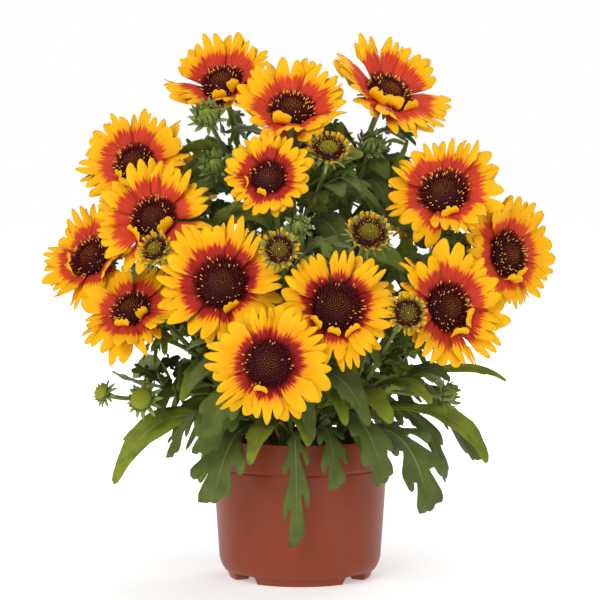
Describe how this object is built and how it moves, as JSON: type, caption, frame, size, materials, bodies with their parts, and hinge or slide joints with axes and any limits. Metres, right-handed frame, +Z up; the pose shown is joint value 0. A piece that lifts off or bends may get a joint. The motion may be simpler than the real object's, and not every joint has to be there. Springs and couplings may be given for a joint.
{
  "type": "potted blanket flower plant",
  "caption": "Bushy flowering perennial with large daisy heads on branching leafy stems, growing in a round plastic nursery pot.",
  "frame": {"origin": "middle of the pot's underside, on the ground", "axes": "+Z up along the pot, -Y towards the front of the plant, +X to its right as seen from the front"},
  "size_m": [0.3817, 0.3147, 0.4095],
  "materials": {
    "terracotta_plastic": "smooth moulded terracotta-brown plastic with a slight satin sheen",
    "potting_soil": "dark crumbly potting compost",
    "ray_petals": "soft matt petal, golden yellow tips over a coral to crimson base",
    "disc_florets": "rough maroon-brown florets",
    "young_head": "yellow-green closed florets with short yellow rays",
    "green_button": "pale yellow-green closed florets",
    "foliage": "dull green, finely hairy leaves and stems"
  },
  "bodies": {
    "root": {"pot": "terracotta_plastic", "soil": "potting_soil", "bloom_01_rays": "ray_petals", "bloom_01_disc": "disc_florets", "stem_top_left": "foliage", "bloom_02_rays": "ray_petals", "bloom_02_disc": "disc_florets", "young_01": "young_head", "stem_top": "foliage", "bloom_03_rays": "ray_petals", "bloom_03_disc": "disc_florets", "stem_top_right": "foliage", "bloom_04_rays": "ray_petals", "bloom_04_disc": "disc_florets", "bloom_05_rays": "ray_petals", "bloom_05_disc": "disc_florets", "stem_left_high": "foliage", "bloom_08_rays": "ray_petals", "bloom_08_disc": "disc_florets", "bloom_09_rays": "ray_petals", "bloom_09_disc": "disc_florets", "button_01": "green_button", "button_02": "green_button", "stem_left": "foliage", "bloom_06_rays": "ray_petals", "bloom_06_disc": "disc_florets", "bloom_10_rays": "ray_petals", "bloom_10_disc": "disc_florets", "young_05": "young_head", "stem_front_left": "foliage", "bloom_11_rays": "ray_petals", "bloom_11_disc": "disc_florets", "young_03": "young_head", "stem_front": "foliage", "bloom_12_rays": "ray_petals", "bloom_12_disc": "disc_florets", "young_02": "young_head", "stem_front_mid": "foliage", "bloom_07_rays": "ray_petals", "bloom_07_disc": "disc_florets", "bloom_14_rays": "ray_petals", "bloom_14_disc": "disc_florets", "stem_right_high": "foliage", "bloom_13_rays": "ray_petals", "bloom_13_disc": "disc_florets", "young_04": "young_head", "stem_right": "foliage", "bloom_15_rays": "ray_petals", "bloom_15_disc": "disc_florets", "bloom_16_rays": "ray_petals", "bloom_16_disc": "disc_florets", "stem_back_left": "foliage", "bloom_17_rays": "ray_petals", "bloom_17_disc": "disc_florets", "bloom_18_rays": "ray_petals", "bloom_18_disc": "disc_florets", "bloom_19_rays": "ray_petals", "bloom_19_disc": "disc_florets", "young_06": "young_head", "stem_back_right": "foliage"}
  },
  "joints": []
}
